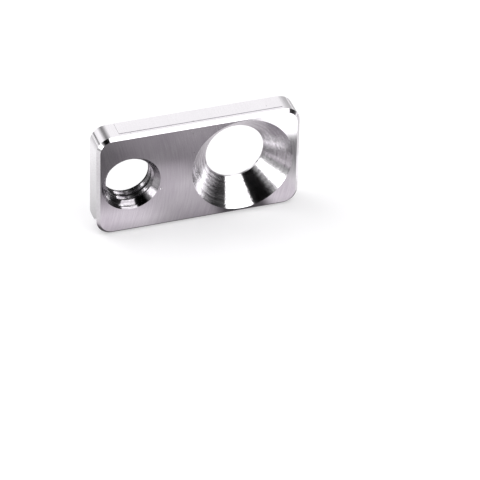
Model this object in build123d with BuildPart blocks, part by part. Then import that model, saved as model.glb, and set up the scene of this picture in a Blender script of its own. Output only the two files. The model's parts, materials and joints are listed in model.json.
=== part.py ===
from build123d import *

import os

# A machined mounting block: a flat aluminium bar, held to a surface by one flat head
# screw, that carries a second screw in its own tapped hole.
#
# The block stands on one long edge. +X runs along it from the tapped end to the
# countersunk end, +Y from the countersunk front face to the plain back face, and +Z up
# across its width. The origin is under the middle of the block, where it stands.
# Sizes are in millimetres.

# Bar, cut from 1 in by 1/4 in flat stock and profiled all round
LENGTH = 46.6
WIDTH = 25.4
THICKNESS = 6.35
CORNER_RADIUS = 3.6
FRONT_EDGE_CHAMFER = 0.7
BACK_EDGE_CHAMFER = 0.6

# Both holes lie on the middle line of the width
TAPPED_END_DISTANCE = 7.75  # from the end of the bar to the tapped hole's axis
HOLE_SPACING = 25.6

# One countersink cuts the screw seat and both mouths of the tapped hole
COUNTERSINK_ANGLE = 82.0

# Tapped hole for a 1/2-13 UNC screw, kept at its tap drill size
TAP_DRILL_DIAMETER = 10.72
FRONT_MOUTH_DIAMETER = 13.45
BACK_MOUTH_DIAMETER = 12.25

# Seat and clearance hole for a 1/2 in flat head screw
CLEARANCE_DIAMETER = 13.5
SEAT_DIAMETER = 23.3
BACK_RIM_CHAMFER = 0.25

# Worked out from the sizes above
tapped_x = TAPPED_END_DISTANCE - LENGTH / 2
countersunk_x = tapped_x + HOLE_SPACING
front = Plane((0, -THICKNESS / 2, WIDTH / 2), x_dir=(1, 0, 0), z_dir=(0, -1, 0))
back = Plane((0, THICKNESS / 2, WIDTH / 2), x_dir=(1, 0, 0), z_dir=(0, 1, 0))


with BuildPart() as mounting_block:
    # The rounded outline stands upright and runs through the bar's thickness
    with BuildSketch(front):
        RectangleRounded(LENGTH, WIDTH, CORNER_RADIUS)
    extrude(amount=-THICKNESS)

    # The rims of both broad faces are broken all round, corners included
    chamfer(mounting_block.faces().sort_by(Axis.Y)[0].edges(), FRONT_EDGE_CHAMFER)
    chamfer(mounting_block.faces().sort_by(Axis.Y)[-1].edges(), BACK_EDGE_CHAMFER)

    # Tapped hole, countersunk from both faces so that the thread starts clean
    with Locations(front):
        with Locations((tapped_x, 0)):
            CounterSinkHole(
                TAP_DRILL_DIAMETER / 2,
                FRONT_MOUTH_DIAMETER / 2,
                counter_sink_angle=COUNTERSINK_ANGLE,
            )
    with Locations(back):
        with Locations((tapped_x, 0)):
            CounterSinkHole(
                TAP_DRILL_DIAMETER / 2,
                BACK_MOUTH_DIAMETER / 2,
                counter_sink_angle=COUNTERSINK_ANGLE,
            )

    # Screw seat, which leaves only a short land of the clearance hole at the back
    with Locations(front):
        with Locations((countersunk_x, 0)):
            CounterSinkHole(
                CLEARANCE_DIAMETER / 2,
                SEAT_DIAMETER / 2,
                counter_sink_angle=COUNTERSINK_ANGLE,
            )

    # The clearance hole's sharp edge is taken off where it leaves the back face
    back_face = mounting_block.faces().sort_by(Axis.Y)[-1]
    clearance_rim = back_face.inner_wires().sort_by(Axis.X)[-1]
    chamfer(clearance_rim.edges(), BACK_RIM_CHAMFER)

mounting_block.part.label = "mounting_block"

os.makedirs("parts", exist_ok=True)
export_step(mounting_block.part, "parts/mounting_block.step")
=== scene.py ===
"""Dresses the machined mounting block and sets it in a small white studio.

The block is a flat aluminium bar with a tapped hole at one end and a countersunk screw
hole at the other. The solid keeps the tapped hole at its drilled size, so this script
models the whole block again with its real thread, and gives each cut its own finish.
"""

import json
import logging
import math
from collections.abc import Callable, Iterable
from dataclasses import dataclass
from enum import Enum

import bmesh
import bpy
from mathutils import Matrix, Vector

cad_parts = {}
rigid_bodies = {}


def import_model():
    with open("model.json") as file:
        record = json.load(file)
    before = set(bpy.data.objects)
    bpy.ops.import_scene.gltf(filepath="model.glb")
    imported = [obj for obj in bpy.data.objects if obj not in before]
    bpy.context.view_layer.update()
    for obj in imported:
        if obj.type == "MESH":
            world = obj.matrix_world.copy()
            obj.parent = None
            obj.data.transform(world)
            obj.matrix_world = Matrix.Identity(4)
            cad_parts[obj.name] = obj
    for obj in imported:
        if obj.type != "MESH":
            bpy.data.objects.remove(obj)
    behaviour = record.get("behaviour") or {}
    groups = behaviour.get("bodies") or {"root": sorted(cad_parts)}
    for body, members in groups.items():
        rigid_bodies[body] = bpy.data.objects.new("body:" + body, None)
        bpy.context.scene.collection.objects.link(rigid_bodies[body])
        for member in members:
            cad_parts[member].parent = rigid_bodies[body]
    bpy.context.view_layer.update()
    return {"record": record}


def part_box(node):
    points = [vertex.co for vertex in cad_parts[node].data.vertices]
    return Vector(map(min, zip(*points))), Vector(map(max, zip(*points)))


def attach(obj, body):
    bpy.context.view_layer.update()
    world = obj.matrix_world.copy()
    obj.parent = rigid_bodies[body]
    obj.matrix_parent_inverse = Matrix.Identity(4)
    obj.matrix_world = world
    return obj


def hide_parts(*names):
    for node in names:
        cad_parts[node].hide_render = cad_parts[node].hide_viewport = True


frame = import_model()

LOG = logging.getLogger("mounting_block")
MM = 0.001
NODE = "mounting_block"

# How close a point is to a plane to lie in it
TOUCH = 0.001 * MM
# The part of a face's normal along an axis, from which the face counts as square to it
SQUARE = 0.99
# One countersink, of 82 degrees, cuts the seat and both mouths of the tapped hole
COUNTERSINK_SLOPE = math.tan(math.radians(41))

FULL_TURN = 360.0
WHITE = "#FFFFFF"
LILAC = "#FFF9FF"

Piece = bpy.types.Object
Tree = bpy.types.NodeTree
Socket = bpy.types.NodeSocket
Outputs = bpy.types.NodeOutputs
Span = tuple[float, float]
Stops = tuple[Span, ...]
Triple = tuple[float, float, float]
Colour = tuple[float, float, float, float]


class Side(Enum):
    """The two broad faces of the bar, and which way along Y each one looks."""

    FRONT = -1
    BACK = 1


def mount(name: str) -> Vector:
    """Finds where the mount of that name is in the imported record, in metres."""
    found = next(m for m in frame["record"]["mounts"] if m["name"] == name)
    return Vector(found["pos_m"])


# Modelling by hand


def deselect() -> None:
    """Leaves nothing selected, so that the next operator acts on its own piece."""
    for thing in bpy.context.view_layer.objects:
        thing.select_set(False)


def take(piece: Piece) -> None:
    """Makes a piece the only one that is selected and active.

    Args:
        piece: The piece that the next operators act on.
    """
    deselect()
    piece.select_set(True)
    bpy.context.view_layer.objects.active = piece


def settle(name: str) -> Piece:
    """Names the primitive that was just added and puts its place into its mesh.

    Args:
        name: The piece's name.

    Returns:
        The piece, with its object at the origin.
    """
    piece = bpy.context.active_object
    piece.name = name
    piece.data.name = name
    bpy.ops.object.transform_apply(location=True, rotation=True, scale=True)
    return piece


def close_up() -> None:
    """Turns the edited piece's faces outwards and leaves edit mode."""
    bpy.ops.mesh.select_all(action="SELECT")
    bpy.ops.mesh.normals_make_consistent(inside=False)
    bpy.ops.object.mode_set(mode="OBJECT")


def pick_edges(piece: Piece, wanted: Callable[[Vector, Vector], bool]) -> None:
    """Selects edges of the piece that is in edit mode, and nothing else.

    Args:
        piece: The piece that is edited.
        wanted: Says whether an edge with those two ends is selected.
    """
    bpy.ops.mesh.select_mode(type="EDGE")
    bpy.ops.mesh.select_all(action="DESELECT")
    bm = bmesh.from_edit_mesh(piece.data)
    for edge in [e for e in bm.edges if wanted(e.verts[0].co, e.verts[1].co)]:
        edge.select_set(True)
    bmesh.update_edit_mesh(piece.data)


def pick_faces(piece: Piece, wanted: Callable[[Vector, Vector], bool]) -> None:
    """Selects faces of the piece that is in edit mode, and nothing else.

    Args:
        piece: The piece that is edited.
        wanted: Says whether a face with that middle and normal is selected.
    """
    bpy.ops.mesh.select_mode(type="FACE")
    bpy.ops.mesh.select_all(action="DESELECT")
    bm = bmesh.from_edit_mesh(piece.data)
    for face in [f for f in bm.faces if wanted(f.calc_center_median(), f.normal)]:
        face.select_set(True)
    bmesh.update_edit_mesh(piece.data)


def cut(piece: Piece, cutter: Piece) -> None:
    """Takes one solid out of another, with the cutter's finish on what it leaves.

    Args:
        piece: The piece that is cut.
        cutter: The closed solid that is taken out of it, which is then thrown away.
    """
    take(piece)
    tool = piece.modifiers.new("cut", "BOOLEAN")
    tool.operation = "DIFFERENCE"
    tool.solver = "EXACT"
    tool.material_mode = "TRANSFER"
    tool.object = cutter
    bpy.ops.object.modifier_apply(modifier=tool.name)
    bpy.data.objects.remove(cutter)


def turned_cutter(
    name: str,
    axis: Vector,
    stations: Iterable[tuple[float, float]],
    finish: bpy.types.Material,
    sides: int,
) -> Piece:
    """Makes a round cutter, such as a drill or a countersink, that points along Y.

    Args:
        name: The cutter's name.
        axis: A point on the cutter's axis.
        stations: The depth along Y and the radius of each ring, front to back.
        finish: The finish that the cutter leaves.
        sides: The number of sides that stand for the round.

    Returns:
        The cutter, a closed solid.
    """
    (depth, radius), *rest = stations
    deselect()
    bpy.ops.mesh.primitive_circle_add(
        vertices=sides,
        radius=radius,
        fill_type="NGON",
        location=(axis.x, depth, axis.z),
        rotation=(math.pi / 2, 0, 0),
    )
    cutter = settle(name)
    bpy.ops.object.mode_set(mode="EDIT")
    bpy.ops.mesh.select_all(action="SELECT")
    for next_depth, next_radius in rest:
        bpy.ops.mesh.extrude_region_move(
            TRANSFORM_OT_translate={"value": (0, next_depth - depth, 0)}
        )
        bpy.ops.transform.resize(
            value=(next_radius / radius, 1, next_radius / radius),
            center_override=(axis.x, next_depth, axis.z),
        )
        depth, radius = next_depth, next_radius
    close_up()
    cutter.data.materials.append(finish)
    return cutter


# Nodes


def linear(colour: str) -> Colour:
    """Turns an sRGB hex colour into Blender's linear colour.

    Args:
        colour: Six hex digits after a hash sign.

    Returns:
        Red, green, blue and an alpha of 1.
    """
    levels = [int(colour[i : i + 2], 16) / 255 for i in (1, 3, 5)]
    red, green, blue = (
        v / 12.92 if v <= 0.04045 else ((v + 0.055) / 1.055) ** 2.4 for v in levels
    )
    return red, green, blue, 1.0


def node(
    tree: Tree, kind: str, links: dict[str | int, object] | None = None, **settings: object
) -> Outputs:
    """Adds a node with its settings and links.

    Args:
        tree: The node tree that the node joins.
        kind: The node's type, without the "ShaderNode" that starts every type's name.
        links: For each input, by name or number, the socket that feeds it or the
            value that is set on it.
        settings: The node's own settings.

    Returns:
        The node's outputs.
    """
    made = tree.nodes.new(f"ShaderNode{kind}")
    for name, value in settings.items():
        setattr(made, name, value)
    for key, source in (links or {}).items():
        if isinstance(source, Socket):
            tree.links.new(source, made.inputs[key])
        else:
            made.inputs[key].default_value = source
    return made.outputs


def paint_strip(
    tree: Tree, along: Socket, stops: Stops, length: float, tint: str = WHITE
) -> Socket:
    """Paints a strip of light or paper, whose grey changes along it.

    Args:
        tree: The nodes of what holds the strip.
        along: The share of the strip's length, from 0 to 1.
        stops: Places along the strip, from 0 to its length, and the grey at each.
        length: The strip's length, in the stops' unit.
        tint: The colour that the greys lean to.

    Returns:
        The grey.
    """
    red, green, blue, _ = linear(tint)
    grey = node(tree, "ValToRGB", {0: along})["Color"]
    elements = grey.node.color_ramp.elements
    while len(elements) < len(stops):
        elements.new(0.5)
    for element, (place, level) in zip(elements, stops):
        element.position = place / length
        element.color = (level * red, level * green, level * blue, 1)
    return grey


def heading(tree: Tree, rise: Socket, run: Socket, zero: float) -> Socket:
    """Measures an angle, as a share of a full turn.

    Args:
        tree: The world's nodes.
        rise: The ray's part square to the angle's zero.
        run: The ray's part along the angle's zero.
        zero: The share that stands for no angle.

    Returns:
        The share.
    """
    angle = node(tree, "Math", {0: rise, 1: run}, operation="ARCTAN2")[0]
    share = {0: angle, 1: 1 / math.tau, 2: zero}
    return node(tree, "Math", share, operation="MULTIPLY_ADD")[0]


# Finishes. Their patterns are in millimetres, and mark_depth and axis are in metres.


@dataclass(frozen=True)
class Aluminium:
    """Bare 6061 aluminium, as a sharp tool leaves it: bright, cool and a little lilac.

    Each finish below adds the marks of its own cut.
    """

    # Fresh aluminium mirrors nine tenths of the light and hardly tints it, so its look
    # is mostly what stands round it. Faint cloudy patches and a few pits, where a chip
    # was pressed in, stop it from reading as chrome; the pits are drawn as dark specks,
    # painted shade in their hollows. Real pits are under 0.1 mm wide, too fine to show,
    # so they are drawn at twice that.
    name: str = "aluminium"
    colour: str = "#F3F1F4"
    shadow_colour: str = "#E6E1E7"
    shade_span: Span = (0.35, 0.65)
    cloud_scale: float = 0.12
    roughness: float = 0.2
    roughness_spread: float = 0.05
    gloss_span: Span = (0.2, 0.8)
    anisotropy: float = 0.0
    mark_width: float = 0.5
    mark_depth: float = 0.0006 * MM
    mark_share: float = 0.5
    pit_shade_colour: str = "#4A474D"
    pit_radius: float = 0.1
    pit_spacing: float = 2.9

    def marks(self, tree: Tree, place: Socket) -> Socket:
        """Draws the height of the tool marks, from 0 to 1, at a place in millimetres."""
        grain = {"Vector": place, "Scale": 1 / self.mark_width, "Detail": 3.0}
        return node(tree, "TexNoise", grain)["Fac"]

    def across(self, tree: Tree, place: Socket) -> Socket | None:
        """Gives the direction in which the marks spread the light, where they have one."""
        return None

    def tint(self, tree: Tree, place: Socket, height: Socket) -> Socket:
        """Works out the metal's colour, with its clouds, marks and pits.

        Args:
            tree: The material's nodes.
            place: Object coordinates in millimetres.
            height: The height of the tool marks, from 0 to 1.

        Returns:
            The colour.
        """
        drift = {"Vector": place, "Scale": self.cloud_scale, "Detail": 2.0}
        cloud = node(tree, "TexNoise", drift)["Fac"]
        worn = {0: self.mark_share, 2: cloud, 3: height}
        wear = node(tree, "Mix", worn, data_type="FLOAT")[0]
        low, high = self.shade_span
        span = {"Value": wear, "From Min": low, "From Max": high}
        shade = node(tree, "MapRange", span)["Result"]
        metal = {0: shade, 6: linear(self.colour), 7: linear(self.shadow_colour)}
        clean = node(tree, "Mix", metal, data_type="RGBA")[2]
        # Painted shade: each pit is drawn as a dark speck
        specks = {"Vector": place, "Scale": 1 / self.pit_spacing}
        speck = node(tree, "TexVoronoi", specks)["Distance"]
        rim = self.pit_radius / self.pit_spacing
        pit = node(tree, "Math", {0: speck, 1: rim}, operation="LESS_THAN")[0]
        pitted = {0: pit, 6: clean, 7: linear(self.pit_shade_colour)}
        return node(tree, "Mix", pitted, data_type="RGBA")[2]

    def material(self) -> bpy.types.Material:
        """Builds the material.

        Returns:
            The finish as a Blender material.
        """
        skin = bpy.data.materials.new(self.name)
        skin.use_nodes = True
        tree = skin.node_tree
        shader = tree.nodes["Principled BSDF"]
        where = node(tree, "TexCoord")["Object"]
        scaled = {0: where, "Scale": 1 / MM}
        place = node(tree, "VectorMath", scaled, operation="SCALE")["Vector"]
        height = self.marks(tree, place)
        gloss = {
            "Value": height,
            "From Min": self.gloss_span[0],
            "From Max": self.gloss_span[1],
            "To Min": self.roughness + self.roughness_spread,
            "To Max": self.roughness - self.roughness_spread,
        }
        relief = {"Height": height, "Distance": self.mark_depth, "Strength": 1.0}
        fed = {
            "Base Color": self.tint(tree, place, height),
            "Roughness": node(tree, "MapRange", gloss)["Result"],
            "Normal": node(tree, "Bump", relief)["Normal"],
            "Tangent": self.across(tree, place),
        }
        for name, socket in fed.items():
            if socket is not None:
                tree.links.new(socket, shader.inputs[name])
        shader.inputs["Metallic"].default_value = 1.0
        shader.inputs["Anisotropic"].default_value = self.anisotropy
        return skin


@dataclass(frozen=True)
class MilledFace(Aluminium):
    """Face-milled aluminium: fine, nearly upright arcs left by a wide cutter."""

    # A wide cutter sweeps one family of grooves over the face. They pull every
    # reflection out along the bar, so the face reads satin, with soft upright streaks.
    # Real feed marks are about 0.1 mm apart, too fine to show: these are 0.35 mm.
    name: str = "milled_aluminium"
    shadow_colour: str = "#DFDAE1"
    roughness: float = 0.16
    roughness_spread: float = 0.03
    anisotropy: float = 0.9
    mark_width: float = 0.35
    mark_depth: float = 0.004 * MM
    mark_drift: float = 0.06
    cutter_radius: float = 38.0
    cutter_height: float = 12.7

    def across(self, tree: Tree, place: Socket) -> Socket:
        """Points along the bar, across the upright arcs."""
        return node(tree, "CombineXYZ", {"X": 1.0})[0]

    def marks(self, tree: Tree, place: Socket) -> Socket:
        """Draws the arcs that the face mill leaves as it passes along the bar.

        Args:
            tree: The material's nodes.
            place: Object coordinates in millimetres.

        Returns:
            The height of the marks, from 0 to 1.
        """
        x, _, z = node(tree, "SeparateXYZ", {0: place})
        drop = node(tree, "Math", {0: z, 1: self.cutter_height}, operation="SUBTRACT")[0]
        square = node(tree, "Math", {0: drop, 1: drop}, operation="MULTIPLY")[0]
        circle = {0: square, 1: 2 * self.cutter_radius}
        bow = node(tree, "Math", circle, operation="DIVIDE")[0]
        along = node(tree, "Math", {0: x, 1: bow}, operation="ADD")[0]
        slow = node(tree, "Math", {0: z, 1: self.mark_drift}, operation="MULTIPLY")[0]
        arc = node(tree, "CombineXYZ", {"X": along, "Z": slow})[0]
        grain = {"Vector": arc, "Scale": 1 / self.mark_width, "Detail": 3.0, "Roughness": 0.6}
        return node(tree, "TexNoise", grain)["Fac"]


@dataclass(frozen=True)
class ProfiledSide(Aluminium):
    """Side-milled aluminium: upright chatter lines across the bar's thickness."""

    # The cutter's side leaves shallow bars across the thickness, so the long sides are
    # pale and even with a faint ripple. The bars are 0.3 mm wide, about three times the
    # real ones, which are too fine to show.
    name: str = "side_milled_aluminium"
    colour: str = "#F4F1F5"
    shadow_colour: str = "#EEEBEF"
    roughness: float = 0.17
    roughness_spread: float = 0.04
    mark_width: float = 0.3
    mark_stretch: Triple = (1.0, 0.08, 1.0)

    def marks(self, tree: Tree, place: Socket) -> Socket:
        """Draws the lines that the end mill leaves across the thickness.

        Args:
            tree: The material's nodes.
            place: Object coordinates in millimetres.

        Returns:
            The height of the marks, from 0 to 1.
        """
        stretch = {"Vector": place, "Scale": self.mark_stretch}
        stretched = node(tree, "Mapping", stretch)[0]
        grain = {"Vector": stretched, "Scale": 1 / self.mark_width, "Detail": 2.0}
        return node(tree, "TexNoise", grain)["Fac"]


@dataclass(frozen=True)
class TurnedCone(Aluminium):
    """Countersunk aluminium: a bright cone with fine rings round its own axis."""

    # A countersink burnishes as it cuts, so the cone mirrors the lights in hard wedges
    # of black and white. The rings smear each wedge up the slope and draw fine arcs
    # over it. Real rings are about 0.1 mm apart, too fine to show: these are 0.42 mm.
    name: str = "countersunk_aluminium"
    colour: str = "#F7F5F8"
    shadow_colour: str = "#C9C5CA"
    shade_span: Span = (0.44, 0.6)
    roughness: float = 0.13
    roughness_spread: float = 0.02
    anisotropy: float = 1.0
    mark_width: float = 0.42
    mark_depth: float = 0.046 * MM
    mark_share: float = 0.95
    ring_waver: float = 0.45
    chatter_width: float = 0.45
    chatter_share: float = 0.2
    lean: Triple = (-0.8, 0.0, -0.6)
    lean_span: Span = (-0.3, 0.6)
    quiet_side: float = 0.35
    climb: float = 1.15
    axis: Triple = (0.0, 0.0, 0.0)

    def outward(self, tree: Tree, place: Socket) -> Socket:
        """Measures the way out from the hole's axis, square to it.

        Args:
            tree: The material's nodes.
            place: Object coordinates in millimetres.

        Returns:
            The vector from the axis.
        """
        centre = tuple(v / MM for v in self.axis)
        offset = node(tree, "VectorMath", {0: place, 1: centre}, operation="SUBTRACT")[0]
        flat = {0: offset, 1: (1.0, 0.0, 1.0)}
        return node(tree, "VectorMath", flat, operation="MULTIPLY")[0]

    def across(self, tree: Tree, place: Socket) -> Socket:
        """Points up the cone, or along a straight bore, across the rings.

        Args:
            tree: The material's nodes.
            place: Object coordinates in millimetres.

        Returns:
            The direction.
        """
        flat = self.outward(tree, place)
        out = node(tree, "VectorMath", {0: flat}, operation="NORMALIZE")[0]
        slant = {0: out, 1: (0.0, -self.climb, 0.0)}
        return node(tree, "VectorMath", slant, operation="ADD")[0]

    def marks(self, tree: Tree, place: Socket) -> Socket:
        """Draws the rings that the countersink leaves, with a little chatter.

        Args:
            tree: The material's nodes.
            place: Object coordinates in millimetres.

        Returns:
            The height of the marks, from 0 to 1.
        """
        flat = self.outward(tree, place)
        reach = node(tree, "VectorMath", {0: flat}, operation="LENGTH")["Value"]
        turn = node(tree, "VectorMath", {0: flat}, operation="NORMALIZE")[0]
        ring = node(tree, "CombineXYZ", {"Y": reach})[0]
        swing = {0: turn, "Scale": self.ring_waver}
        waver = node(tree, "VectorMath", swing, operation="SCALE")[0]
        spot = node(tree, "VectorMath", {0: ring, 1: waver}, operation="ADD")[0]
        grain = {"Vector": spot, "Scale": 1 / self.mark_width, "Detail": 2.0, "Roughness": 0.6}
        rings = node(tree, "TexNoise", grain)["Fac"]
        # The tool leans to one side as it cuts, and its rings are deeper there
        dot = node(tree, "VectorMath", {0: turn, 1: self.lean}, operation="DOT_PRODUCT")
        span = {
            "Value": dot["Value"],
            "From Min": self.lean_span[0],
            "From Max": self.lean_span[1],
            "To Min": self.quiet_side,
            "To Max": 1.0,
        }
        press = node(tree, "MapRange", span)["Result"]
        pressed = node(tree, "Mix", {0: press, 2: 0.5, 3: rings}, data_type="FLOAT")[0]
        rattle = {"Vector": place, "Scale": 1 / self.chatter_width, "Detail": 1.0}
        chatter = node(tree, "TexNoise", rattle)["Fac"]
        marked = {0: self.chatter_share, 2: pressed, 3: chatter}
        return node(tree, "Mix", marked, data_type="FLOAT")[0]


@dataclass(frozen=True)
class ShadedMouth(TurnedCone):
    """Countersunk aluminium at the tapped hole's mouths, painted greyer than the seat as
    shade.
    """

    # The small cones are painted a little greyer than the seat, with darker rings:
    # painted shade in the mouths of the hole.
    name: str = "painted_shade_mouth_metal"
    # Painted shade: greyer colours than the seat's
    colour: str = "#BAB6BB"
    shadow_colour: str = "#908C91"


@dataclass(frozen=True)
class ShadedThread(TurnedCone):
    """Tapped aluminium: torn and burnished flanks with scores along the groove, painted dark
    as shade.
    """

    # The tap tears and burnishes by turns, so patches follow each other along the groove.
    # Their dark grey is painted shade inside the thread, and the short bright glints come
    # from the lights. Its scores are drawn 0.3 mm apart to show.
    name: str = "painted_shade_tapped_metal"
    # Painted shade: the dark grey of the thread's patches
    colour: str = "#D6D3D7"
    shadow_colour: str = "#6E6A70"
    roughness: float = 0.1
    mark_width: float = 0.3
    mark_depth: float = 0.05 * MM


@dataclass(frozen=True)
class ShadedBore(TurnedCone):
    """Drilled aluminium: a dull wall painted near black as shade, which the tap leaves as
    narrow crests.
    """

    # A drill rubs its chips on the wall and leaves it dull. Its near-black colour is
    # painted shade between the turns, so the narrow crests read as thin dark lines. Its
    # scores are drawn 0.25 mm apart to show.
    name: str = "painted_shade_drilled_metal"
    # Painted shade: near black, for the dark thread crests
    colour: str = "#1B191D"
    shadow_colour: str = "#121114"
    roughness: float = 0.42
    anisotropy: float = 0.8
    mark_width: float = 0.25


@dataclass(frozen=True)
class BrokenEdge(Aluminium):
    """A bright chamfer, cut clean by a small sharp tool, so it mirrors crisply."""

    # One light pass at high speed leaves no marks to speak of. The chamfers are the
    # sharpest mirrors on the block, and outline it in pure white and black.
    name: str = "chamfered_aluminium"
    roughness: float = 0.1
    roughness_spread: float = 0.03
    mark_depth: float = 0.0003 * MM


@dataclass(frozen=True)
class Ding(BrokenEdge):
    """Dented aluminium, pressed smooth by whatever hit it."""

    # A knock burnishes the bottom of its dent, so it shows as one bright spark.
    name: str = "dinged_aluminium"


@dataclass(frozen=True)
class ShadedLip(Aluminium):
    """Torn aluminium, painted dark as shade, on the low wall where the side mill's pass ends.
    """

    # The mill tears the metal along the end of its pass instead of cutting it, so the
    # wall scatters light. Its dark grey is painted shade, as in a narrow groove, so it
    # reads as a fine dark line.
    name: str = "torn_metal_with_painted_shade"
    # Painted shade: dark grey, for the lip's fine dark line
    colour: str = "#A29EA6"
    shadow_colour: str = "#8B878F"
    roughness: float = 0.5


# The block


@dataclass
class Bar:
    """The flat bar, with rounded corners, chamfered rims and its last stock surface."""

    low: Vector
    high: Vector
    corner_radius: float = 3.6 * MM
    corner_steps: int = 16
    front_chamfer: float = 0.7 * MM
    back_chamfer: float = 0.6 * MM
    stock_height: float = 0.08 * MM
    stock_from_front: float = 1.64 * MM
    stock_start: float = -17.9 * MM
    stock_end: float = 19.5 * MM
    # A long side's faces lie further out than this share of the way to it
    outer_share: float = 0.9
    # For the broad faces, the sides, the chamfers and the lip, in that order
    finishes: tuple[Aluminium, ...] = (MilledFace(), ProfiledSide(), BrokenEdge(), ShadedLip())

    def build(self) -> Piece:
        """Models the bar before its holes are cut.

        Returns:
            The bar.
        """
        size = self.high - self.low
        middle = (self.low + self.high) / 2
        height = size.z - 2 * self.stock_height
        deselect()
        bpy.ops.mesh.primitive_cube_add(
            size=1, location=middle, scale=(size.x, size.y, height)
        )
        bar = settle("block")
        bpy.ops.object.mode_set(mode="EDIT")
        pick_edges(bar, lambda a, b: abs(a.y - b.y) > size.y / 2)
        bpy.ops.mesh.bevel(
            offset=self.corner_radius, segments=self.corner_steps, affect="EDGES"
        )
        self.chamfer(bar, Side.FRONT, self.front_chamfer)
        self.chamfer(bar, Side.BACK, self.back_chamfer)
        for up in (1, -1):
            self.leave_stock(bar, up, height / 2)
        close_up()
        self.dress(bar)
        return bar

    def chamfer(self, bar: Piece, side: Side, leg: float) -> None:
        """Breaks the whole rim of one broad face at 45 degrees.

        Args:
            bar: The bar, in edit mode.
            side: The face whose rim is cut.
            leg: The chamfer's width on that face.
        """
        plane = self.low.y if side is Side.FRONT else self.high.y
        pick_edges(
            bar, lambda a, b: abs(a.y - plane) < TOUCH and abs(b.y - plane) < TOUCH
        )
        bpy.ops.mesh.bevel(offset=leg, segments=1, affect="EDGES")

    def leave_stock(self, bar: Piece, up: int, reach: float) -> None:
        """Leaves the bar's first surface a hair proud on one long side.

        Args:
            bar: The bar, in edit mode.
            up: 1 for the top side and -1 for the bottom side.
            reach: The distance from the bar's middle line to that side.
        """
        middle = (self.low + self.high) / 2
        front = self.low.y + self.stock_from_front

        def on_side(centre: Vector, normal: Vector) -> bool:
            """Says whether a face is part of the flat long side."""
            outer = self.outer_share * reach
            return normal.z * up > SQUARE and (centre.z - middle.z) * up > outer

        for point, normal in (
            ((self.stock_start, 0, 0), (1, 0, 0)),
            ((self.stock_end, 0, 0), (1, 0, 0)),
            ((0, front, 0), (0, 1, 0)),
        ):
            pick_faces(bar, on_side)
            bpy.ops.mesh.bisect(plane_co=point, plane_no=normal)
        pick_faces(
            bar,
            lambda c, n: on_side(c, n)
            and self.stock_start < c.x < self.stock_end
            and c.y > front,
        )
        bpy.ops.mesh.extrude_region_move(
            TRANSFORM_OT_translate={"value": (0, 0, up * self.stock_height)}
        )

    def dress(self, bar: Piece) -> None:
        """Gives the broad faces, the sides, the chamfers and the lip their own finish.

        Args:
            bar: The bar.
        """
        for finish in self.finishes:
            bar.data.materials.append(finish.material())
        broad, side, edge, lip = range(len(self.finishes))
        for face in bar.data.polygons:
            facing = abs(face.normal.y)
            if facing < 1 - SQUARE:
                face.material_index = side
            elif facing < SQUARE:
                face.material_index = edge
            elif self.low.y + MM < face.center.y < self.high.y - MM:
                face.material_index = lip
            else:
                face.material_index = broad


@dataclass
class Hole:
    """A round hole through the bar. Every cutter starts and ends outside the metal."""

    axis: Vector
    front: float
    back: float
    sides: int = 128
    overrun: float = 0.5 * MM


@dataclass
class ScrewSeat(Hole):
    """The countersunk hole for the flat head screw that holds the block down."""

    seat_radius: float = 11.65 * MM
    hole_radius: float = 6.75 * MM
    back_break: float = 0.25 * MM
    sides: int = 192

    def build(self, block: Piece) -> None:
        """Cuts the seat, its short land and the broken edge at the back.

        Args:
            block: The block that is cut.
        """
        slope = COUNTERSINK_SLOPE
        land = self.front + (self.seat_radius - self.hole_radius) / slope
        finish = TurnedCone(axis=tuple(self.axis)).material()
        stations = [
            (self.front - self.overrun, self.seat_radius + self.overrun * slope),
            (land, self.hole_radius),
            (self.back - self.back_break, self.hole_radius),
            (self.back + self.overrun, self.hole_radius + self.back_break + self.overrun),
        ]
        cut(block, turned_cutter("seat", self.axis, stations, finish, self.sides))


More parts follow.
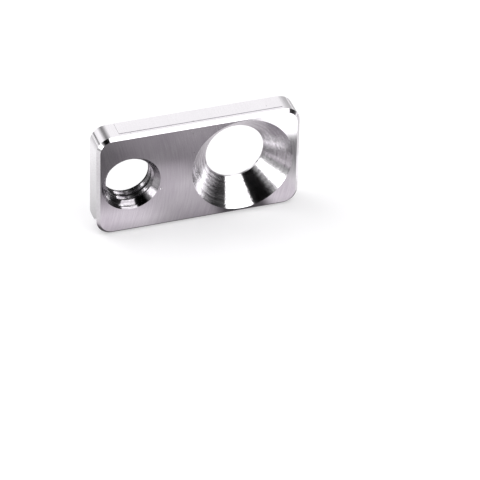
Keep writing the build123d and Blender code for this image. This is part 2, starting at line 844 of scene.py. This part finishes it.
@dataclass
class TappedHole(Hole):
    """The 1/2-13 UNC tapped hole, countersunk from both faces."""

    drill_radius: float = 5.36 * MM
    front_mouth: float = 6.725 * MM
    back_mouth: float = 6.125 * MM
    pitch: float = 25.4 / 13 * MM
    flank_angle: float = math.radians(30)
    major_radius: float = 6.35 * MM
    inner_radius: float = 5.0 * MM
    start_turn: float = 0.66
    nick_turn: float = math.radians(-20)
    nick_reach: float = 7.2 * MM
    nick_radius: float = 0.5 * MM
    nick_lift: float = 0.34 * MM

    def build(self, block: Piece) -> None:
        """Taps, drills and countersinks the hole, and dents the face beside it.

        Args:
            block: The block that is cut.
        """
        axis = tuple(self.axis)
        cut(block, self.groove(ShadedThread(axis=axis).material()))
        wall = ShadedBore(axis=axis).material()
        bore = [
            (self.front - self.overrun, self.drill_radius),
            (self.back + self.overrun, self.drill_radius),
        ]
        cut(block, turned_cutter("drill", self.axis, bore, wall, self.sides))
        cone = ShadedMouth(axis=axis).material()
        for side, radius in ((Side.FRONT, self.front_mouth), (Side.BACK, self.back_mouth)):
            stations = self.mouth(side, radius)
            cut(block, turned_cutter("countersink", self.axis, stations, cone, self.sides))
        cut(block, self.nick())

    def mouth(self, side: Side, radius: float) -> list[tuple[float, float]]:
        """Gives the countersink that opens one end of the hole.

        Args:
            side: The face that the mouth opens on.
            radius: The mouth's radius on that face.

        Returns:
            The depth and the radius of the cutter's two ends, front to back.
        """
        out = side.value
        face = self.front if side is Side.FRONT else self.back
        depth = (radius - self.drill_radius) / COUNTERSINK_SLOPE
        flare = self.overrun * COUNTERSINK_SLOPE
        wide = (face + out * self.overrun, radius + flare)
        narrow = (face - out * depth - out * self.overrun, self.drill_radius - flare)
        return sorted((wide, narrow))

    def nick(self) -> Piece:
        """Makes the tool that leaves a small ding beside the front mouth.

        Returns:
            The round-nosed cutter.
        """
        place = self.axis + self.nick_reach * Vector(
            (math.cos(self.nick_turn), 0, math.sin(self.nick_turn))
        )
        deselect()
        bpy.ops.mesh.primitive_ico_sphere_add(
            subdivisions=4,
            radius=self.nick_radius,
            location=(place.x, self.front - self.nick_lift, place.z),
        )
        ball = settle("nick")
        ball.data.materials.append(Ding().material())
        return ball

    def section(self) -> Piece:
        """Draws the outline of the groove, wide inside the hole and narrow at its root.

        Returns:
            The outline, in the plane of X and Y, as far from the Y axis as the groove.
        """
        root = self.pitch / 8
        reach = self.major_radius - self.inner_radius
        mouth = root + 2 * reach * math.tan(self.flank_angle)
        deselect()
        bpy.ops.mesh.primitive_plane_add(
            size=1, location=(self.major_radius - reach / 2, 0, 0)
        )
        bpy.context.active_object.scale = (reach, mouth, 1)
        outline = settle("tap_groove")
        bpy.ops.object.mode_set(mode="EDIT")
        pick_edges(outline, lambda a, b: min(a.x, b.x) > self.major_radius - reach / 2)
        bpy.ops.transform.resize(value=(1, root / mouth, 1))
        bpy.ops.mesh.select_all(action="SELECT")
        bpy.ops.mesh.delete(type="ONLY_FACE")
        bpy.ops.object.mode_set(mode="OBJECT")
        return outline

    def groove(self, finish: bpy.types.Material) -> Piece:
        """Makes the groove that the tap cuts, as one long right-handed coil.

        Args:
            finish: The finish that the tap leaves.

        Returns:
            The coil, a closed solid that reaches inside the drilled hole.
        """
        turns = math.ceil((self.back - self.front) / self.pitch) + 2
        start = (self.front + self.back) / 2 - turns * self.pitch / 2
        coil = self.section()
        screw = coil.modifiers.new("screw", "SCREW")
        screw.axis = "Y"
        screw.screw_offset = self.pitch
        screw.iterations = turns
        screw.steps = self.sides
        screw.render_steps = self.sides
        bpy.ops.object.modifier_apply(modifier=screw.name)
        coil.location = (self.axis.x, start, self.axis.z)
        coil.rotation_euler = (0, math.tau * self.start_turn, 0)
        bpy.ops.object.transform_apply(location=True, rotation=True, scale=False)
        bpy.ops.object.mode_set(mode="EDIT")
        bpy.ops.mesh.select_mode(type="EDGE")
        bpy.ops.mesh.select_all(action="DESELECT")
        bpy.ops.mesh.select_non_manifold(
            extend=False,
            use_wire=False,
            use_boundary=True,
            use_multi_face=False,
            use_non_contiguous=False,
            use_verts=False,
        )
        bpy.ops.mesh.edge_face_add()
        close_up()
        coil.data.materials.append(finish)
        return coil


@dataclass
class MountingBlock:
    """The whole block: the bar with its screw seat and its tapped hole."""

    low: Vector
    high: Vector
    merge_distance: float = 0.0001 * MM
    sharp_angle: float = math.radians(28)

    def build(self) -> Piece:
        """Models the block and puts it in the solid's place.

        Returns:
            The finished block.
        """
        block = Bar(self.low, self.high).build()
        LOG.info("bar: %d faces", len(block.data.polygons))
        for name, kind in (("tapped_hole", TappedHole), ("screw_hole", ScrewSeat)):
            kind(mount(name), self.low.y, self.high.y).build(block)
            LOG.info("%s: %d faces", name, len(block.data.polygons))
        self.smooth(block)
        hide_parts(NODE)
        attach(block, "root")
        return block

    def smooth(self, block: Piece) -> None:
        """Merges stray points and smooths the curved cuts, with flat faces kept flat.

        Args:
            block: The block.
        """
        take(block)
        bpy.ops.object.mode_set(mode="EDIT")
        bpy.ops.mesh.select_all(action="SELECT")
        bpy.ops.mesh.remove_doubles(threshold=self.merge_distance)
        close_up()
        bpy.ops.object.shade_smooth_by_angle(angle=self.sharp_angle)
        weights = block.modifiers.new("weights", "WEIGHTED_NORMAL")
        weights.mode = "FACE_AREA"
        weights.keep_sharp = True
        bpy.ops.object.modifier_apply(modifier=weights.name)


# The studio


@dataclass(frozen=True)
class Flag:
    """A dark board hung ahead of the block, as a product stylist sets one.

    Tilt is the angle up from the floor ahead and swing the angle to the left of straight
    ahead, in degrees. Each gives where the board begins, is full, is still full and ends.
    """

    tilt: tuple[float, float, float, float]
    swing: tuple[float, float, float, float]
    grey: float

    def hang(self, tree: Tree, light: Socket, tilt: Socket, swing: Socket) -> Socket:
        """Hangs the board in front of the lights.

        Args:
            tree: The world's nodes.
            light: The light behind the board.
            tilt: The ray's tilt, from 0 at -180 degrees to 1 at 180 degrees.
            swing: The ray's swing, on the same scale.

        Returns:
            The light with the board in it.
        """
        shares = []
        for angle, edges in ((tilt, self.tilt), (swing, self.swing)):
            stops = ((e + FULL_TURN / 2, full) for e, full in zip(edges, (0, 1, 1, 0)))
            shares.append(paint_strip(tree, angle, tuple(stops), FULL_TURN))
        share = node(tree, "Math", dict(enumerate(shares)), operation="MULTIPLY")[0]
        board = (self.grey, self.grey, self.grey, 1)
        return node(tree, "Mix", {0: share, 6: light, 7: board}, data_type="RGBA")[2]


@dataclass(frozen=True)
class Canopy:
    """The lights and flags hung round the block, which the metal mirrors.

    They are long strips that fan out from one point, the pivot, low behind the block on
    its right. Each is given by its angle there, in degrees from the floor on the right
    (+X) over the top to the floor on the left, so a strip's edge shows in the same place
    on a chamfer, a cone and a rounded corner. Each stop is an angle and a light, where 1
    is white. The half behind the block has stops of its own, which take over from the
    other half's as the ray turns from one end of turn_over to the other.
    """

    pivot: tuple[float, float] = (-0.261, 0.588)
    # A dull right, a dark strip, the bright strip overhead, black, and a bright left
    ahead: Stops = (
        ((0, 0.3), (38, 0.3), (41, 0.22), (44, 0.14), (48, 0.07), (54, 0.035))
        + ((60, 0.035), (66, 0.06), (70.5, 0.09), (73, 2.3), (101.7, 2.3), (104.2, 0.03))
        + ((107, 0.01), (110, 0.002), (122.5, 0.002), (125.5, 0.03), (128.5, 0.15))
        + ((131, 0.38), (134, 0.38), (138, 2.6), (149, 2.6), (152, 1.2), (156, 0.45))
        + ((180, 0.5),)
    )
    # Soft greys, with two narrow dark slots
    behind: Stops = (
        ((0, 0.8), (30, 0.8), (40, 0.68), (50, 0.6), (60, 0.54), (65, 0.52), (70, 0.56))
        + ((75, 0.62), (80, 0.72), (85, 0.85), (88, 1.05), (94, 1.03), (100, 0.7))
        + ((105, 0.36), (110, 0.18), (114, 0.34), (120, 0.76), (124, 1.1), (138.5, 1.05))
        + ((140, 0.1), (143.5, 0.12), (145.5, 0.8), (149, 0.95), (155, 1.0), (180, 1.0))
    )
    turn_over: Span = (-0.1, 0.3)
    # Two on the left leave a gap that glints along the thread, and two hang higher up
    flags: tuple[Flag, ...] = (
        Flag(tilt=(-20, -10, 13, 17), swing=(5, 12, 22, 26), grey=0.06),
        Flag(tilt=(-20, -10, 13, 17), swing=(34, 38, 44, 52), grey=0.06),
        Flag(tilt=(15, 19, 32, 40), swing=(-15.5, -13, 4, 10), grey=0.08),
        Flag(tilt=(25, 28, 38, 42), swing=(-29, -24, -12, -4), grey=0.08),
    )

    def build(self) -> None:
        """Paints the canopy on the world and keeps it plain white to the camera."""
        world = bpy.data.worlds.new("studio")
        bpy.context.scene.world = world
        world.use_nodes = True
        tree = world.node_tree
        ray = node(tree, "TexCoord")["Generated"]
        way = node(tree, "SeparateXYZ", {0: ray})
        light = self.strips(tree, way)
        ahead, left = (
            node(tree, "Math", {0: way[axis], 1: -1.0}, operation="MULTIPLY")[0]
            for axis in ("Y", "X")
        )
        tilt = heading(tree, way["Z"], ahead, zero=0.5)
        swing = heading(tree, left, ahead, zero=0.5)
        for flag in self.flags:
            light = flag.hang(tree, light, tilt, swing)
        seen = node(tree, "LightPath")["Is Camera Ray"]
        plain = {0: seen, 6: light, 7: linear(WHITE)}
        shown = node(tree, "Mix", plain, data_type="RGBA")[2]
        tree.links.new(shown, tree.nodes["Background"].inputs["Color"])

    def strips(self, tree: Tree, way: Outputs) -> Socket:
        """Paints the strips that fan out from the pivot.

        Args:
            tree: The world's nodes.
            way: The ray's direction, by axis.

        Returns:
            The light that comes along the ray.
        """
        beside, above = (
            node(tree, "Math", {0: way[axis], 1: shift}, operation="ADD")[0]
            for axis, shift in zip(("X", "Z"), self.pivot)
        )
        angle = heading(tree, above, beside, zero=0.0)
        start, end = self.turn_over
        span = {"Value": way["Y"], "From Min": start, "From Max": end}
        half = node(tree, "MapRange", span, interpolation_type="SMOOTHSTEP")["Result"]
        ahead = paint_strip(tree, angle, self.ahead, FULL_TURN)
        behind = paint_strip(tree, angle, self.behind, FULL_TURN)
        return node(tree, "Mix", {0: half, 6: ahead, 7: behind}, data_type="RGBA")[2]


@dataclass(frozen=True)
class Zone:
    """One strip of a card, with its grey from the card's near edge outwards.

    The strip takes over from the one to its left between start and full, in
    millimetres along X. Each stop is a distance in millimetres and a grey.
    """

    start: float
    full: float
    stops: Stops
    tint: str = WHITE


# Painted shadow: the floor under the block, dark, for the bottom chamfers to mirror
PAINTED_SHADOW_BENEATH = ((0.0, 0.1), (2.8, 0.1))
# The front card's greys are painted reflections: painted shadow of the block on the floor near
# its foot, and darker neighbouring parts in front, which are left out
FRONT_ZONES = (
    # Far left, and the turn towards the block
    Zone(-300, -300, ((0, 0.8), (20, 0.85), (38, 0.9), (46, 0.45), (64, 0.38), (140, 0.34))),
    Zone(-84, -74, ((0, 0.8), (22, 0.85), (27, 0.4), (140, 0.36))),
    Zone(-55, -45, ((0, 0.75), (13, 0.75), (19, 0.35), (28, 0.3), (45, 0.42), (140, 0.36))),
    # Below the tapped end
    Zone(
        -30,
        -24,
        PAINTED_SHADOW_BENEATH
        + ((3.3, 0.46), (7.3, 0.75), (10.3, 0.76), (15.3, 0.42), (19.3, 0.18))
        + ((25.3, 0.12), (33.3, 0.11), (63.3, 0.22)),
        LILAC,
    ),
    # Between the holes
    Zone(
        -14,
        -4,
        PAINTED_SHADOW_BENEATH
        + ((3.3, 0.29), (6.3, 0.4), (9.7, 0.47), (12.3, 0.52), (17.3, 0.6), (20.3, 0.54))
        + ((23.3, 0.48), (25.3, 0.38), (26.8, 0.26), (31.3, 0.26), (36.0, 0.31), (63.3, 0.31)),
        LILAC,
    ),
    # Below the seat
    Zone(
        3,
        7,
        PAINTED_SHADOW_BENEATH
        + ((3.3, 0.08), (12.0, 0.12), (20.0, 0.2), (26.0, 0.28), (36.0, 0.36), (60.0, 0.3)),
        LILAC,
    ),
    # Right of the seat
    Zone(
        15,
        19,
        PAINTED_SHADOW_BENEATH
        + ((3.3, 0.6), (6.3, 0.76), (11.3, 0.7), (17.3, 0.5), (23.3, 0.46))
        + ((25.3, 0.38), (26.8, 0.24), (31.3, 0.21), (63.3, 0.25)),
        LILAC,
    ),
    # The right end, with a bright patch, a painted reflection for the face's top right corner
    Zone(
        23,
        27,
        ((0, 0.8), (8.3, 0.9), (11.3, 0.78), (14.3, 0.5), (19.3, 0.24), (24.3, 0.2))
        + ((27.6, 0.26), (29.6, 2.0), (42.0, 2.0), (50.0, 0.3), (140.0, 0.3)),
    ),
    # Far right
    Zone(33, 37, ((0, 1.0), (45, 1.0), (60, 0.4), (140, 0.4))),
    Zone(58, 68, ((0, 0.5), (140, 0.4))),
)
# Painted shadow of the block on the floor behind it, lightening to white 25 mm out
PAINTED_SHADOW_BEHIND = ((0, 0.55), (4, 0.65), (9, 0.75), (14, 0.8), (19, 0.87), (25, 1.0))
# The back card's greys are painted reflections, with the block's painted shadow close behind
# it
BACK_ZONES = (
    # Far left, and behind the left end
    Zone(-160, -160, PAINTED_SHADOW_BEHIND + ((40, 0.9), (70, 0.7), (140, 0.6))),
    Zone(-40, -34, PAINTED_SHADOW_BEHIND + ((34, 1.0), (42, 0.5), (140, 0.45))),
    # Behind the tapped hole
    Zone(
        -20,
        -15,
        ((0, 0.34), (4, 0.28), (8, 0.24), (12, 0.25), (17, 0.3), (22, 0.36), (34, 0.45))
        + ((60, 0.42), (140, 0.45)),
        LILAC,
    ),
    # Behind the seat
    Zone(
        8,
        15,
        ((0, 0.42), (4, 0.46), (9, 0.54), (14, 0.7), (19, 0.86), (26, 0.92), (34, 0.5))
        + ((60, 0.42), (140, 0.45)),
        LILAC,
    ),
    # Far right
    Zone(25, 32, ((0, 0.8), (20, 0.8), (36, 0.65), (140, 0.6))),
    Zone(72, 84, ((0, 0.45), (140, 0.5))),
)


@dataclass(frozen=True)
class Card:
    """A glowing card on the floor that only the metal sees: its greys are painted reflections.

    Start is the card's near left corner, size its width and depth, and lift its height
    over the floor, in millimetres. It reaches out from the block on its side.
    """

    name: str
    start: tuple[float, float]
    size: tuple[float, float]
    side: Side
    zones: tuple[Zone, ...]
    lift: float = 0.05

    def build(self) -> None:
        """Lays the card on the floor, where only reflections find it."""
        width, depth = (v * MM for v in self.size)
        middle = (
            self.start[0] * MM + width / 2,
            self.start[1] * MM + self.side.value * depth / 2,
            self.lift * MM,
        )
        deselect()
        bpy.ops.mesh.primitive_plane_add(size=1, location=middle)
        bpy.context.active_object.scale = (width, depth, 1)
        card = settle(self.name)
        card.data.materials.append(self.material())
        for ray in ("camera", "diffuse", "shadow", "transmission", "volume_scatter"):
            setattr(card, f"visible_{ray}", False)

    def material(self) -> bpy.types.Material:
        """Paints the card's greys, the painted reflections and painted shadow that the metal
        mirrors.

        Returns:
            The card's material.
        """
        paper = bpy.data.materials.new(self.name)
        paper.use_nodes = True
        tree = paper.node_tree
        tree.nodes.remove(tree.nodes["Principled BSDF"])
        where = node(tree, "TexCoord")["Object"]
        x, y, _ = node(tree, "SeparateXYZ", {0: where})
        near, reach = self.start[1], self.size[1]
        far = near + self.side.value * reach
        span = {"Value": y, "From Min": near * MM, "From Max": far * MM}
        depth = node(tree, "MapRange", span)["Result"]
        first, *others = self.zones
        grey = paint_strip(tree, depth, first.stops, reach, first.tint)
        for zone in others:
            strip = paint_strip(tree, depth, zone.stops, reach, zone.tint)
            span = {"Value": x, "From Min": zone.start * MM, "From Max": zone.full * MM}
            share = node(tree, "MapRange", span, interpolation_type="SMOOTHSTEP")["Result"]
            grey = node(tree, "Mix", {0: share, 6: grey, 7: strip}, data_type="RGBA")[2]
        glow = node(tree, "Emission", {"Color": grey})[0]
        tree.links.new(glow, tree.nodes["Material Output"].inputs["Surface"])
        return paper


@dataclass
class Studio:
    """A white studio: a canopy, two cards of painted reflections for the metal, and a floor
    with a shadow.
    """

    canopy: Canopy = Canopy()
    cards: tuple[Card, ...] = (
        Card("front_reflection_card", (-300.0, 0.0), (440.0, 140.0), Side.FRONT, FRONT_ZONES),
        Card("back_reflection_card", (-160.0, 3.2), (300.0, 140.0), Side.BACK, BACK_ZONES),
    )
    floor_size: float = 6.0
    floor_colour: str = "#F4F3F5"
    floor_glow: float = 0.4
    shadow_reach: Span = (0.09, 0.3)
    lamp_place: Triple = (-0.35, 0.35, 0.8)
    lamp_size: float = 0.6
    lamp_power: float = 4.6

    def build(self) -> None:
        """Sets up the world, the floor, the cards and the lamp."""
        self.canopy.build()
        self.floor()
        for card in self.cards:
            card.build()
        self.lamp()

    def floor(self) -> None:
        """Lays the white floor, which keeps the block's soft shadow."""
        deselect()
        bpy.ops.mesh.primitive_plane_add(size=self.floor_size, location=(0, 0, 0))
        floor = settle("floor")
        paper = bpy.data.materials.new("white_paper")
        paper.use_nodes = True
        tree = paper.node_tree
        tree.nodes.remove(tree.nodes["Principled BSDF"])
        matt = node(tree, "BsdfDiffuse", {"Color": linear(self.floor_colour)})[0]
        glow = node(tree, "Emission", {"Color": linear(WHITE), "Strength": 1.0})[0]
        path = node(tree, "LightPath")
        plain = path["Is Camera Ray"]
        for ray in ("Is Glossy Ray", "Is Transmission Ray"):
            plain = node(tree, "Math", {0: plain, 1: path[ray]}, operation="MAXIMUM")[0]
        where = node(tree, "TexCoord")["Object"]
        reach = node(tree, "VectorMath", {0: where}, operation="LENGTH")["Value"]
        # Past the block's shadow the paper turns plain white, so no horizon shows
        span = {
            "Value": reach,
            "From Min": self.shadow_reach[0],
            "From Max": self.shadow_reach[1],
            "To Min": self.floor_glow,
            "To Max": 1.0,
        }
        glowing = node(tree, "MapRange", span)["Result"]
        share = node(tree, "Math", {0: plain, 1: glowing}, operation="MULTIPLY")[0]
        mixed = node(tree, "MixShader", {0: share, 1: matt, 2: glow})[0]
        tree.links.new(mixed, tree.nodes["Material Output"].inputs["Surface"])
        floor.data.materials.append(paper)

    def lamp(self) -> None:
        """Hangs one broad soft lamp, which only the floor and matt surfaces feel."""
        data = bpy.data.lights.new("soft_lamp", "AREA")
        data.size = self.lamp_size
        data.energy = self.lamp_power
        lamp = bpy.data.objects.new("soft_lamp", data)
        lamp.location = self.lamp_place
        lamp.rotation_euler = (-lamp.location).to_track_quat("-Z", "Y").to_euler()
        lamp.visible_glossy = False
        bpy.context.collection.objects.link(lamp)


@dataclass
class View:
    """The camera: a long lens that looks down on the block from the front left."""

    aim: Triple = (6.67 * MM, -12.49 * MM, -0.61 * MM)
    azimuth: float = math.radians(18.853)
    elevation: float = math.radians(36.0)
    roll: float = math.radians(1.32)
    distance: float = 881.0 * MM
    lens: float = 300.0
    sensor: float = 36.0
    nearest: float = 10 * MM

    def build(self) -> None:
        """Sets up the camera."""
        turn = (
            Matrix.Rotation(-self.azimuth, 4, "Z")
            @ Matrix.Rotation(math.pi / 2 - self.elevation, 4, "X")
            @ Matrix.Rotation(self.roll, 4, "Z")
        )
        data = bpy.data.cameras.new("camera")
        data.lens = self.lens
        data.sensor_width = self.sensor
        data.clip_start = self.nearest
        camera = bpy.data.objects.new("camera", data)
        place = Vector(self.aim) + turn @ Vector((0, 0, self.distance))
        camera.matrix_world = Matrix.Translation(place) @ turn
        bpy.context.scene.collection.objects.link(camera)
        bpy.context.scene.camera = camera


def main() -> None:
    """Builds the scene in order: camera, block, then studio."""
    logging.basicConfig(level=logging.INFO, format="%(message)s")
    bpy.context.scene.view_settings.view_transform = "Standard"
    View().build()
    low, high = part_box(NODE)
    block = MountingBlock(low, high).build()
    LOG.info("block: %d faces", len(block.data.polygons))
    Studio().build()
    LOG.info("studio: canopy, floor, two cards and a lamp")


if __name__ == "__main__":
    main()
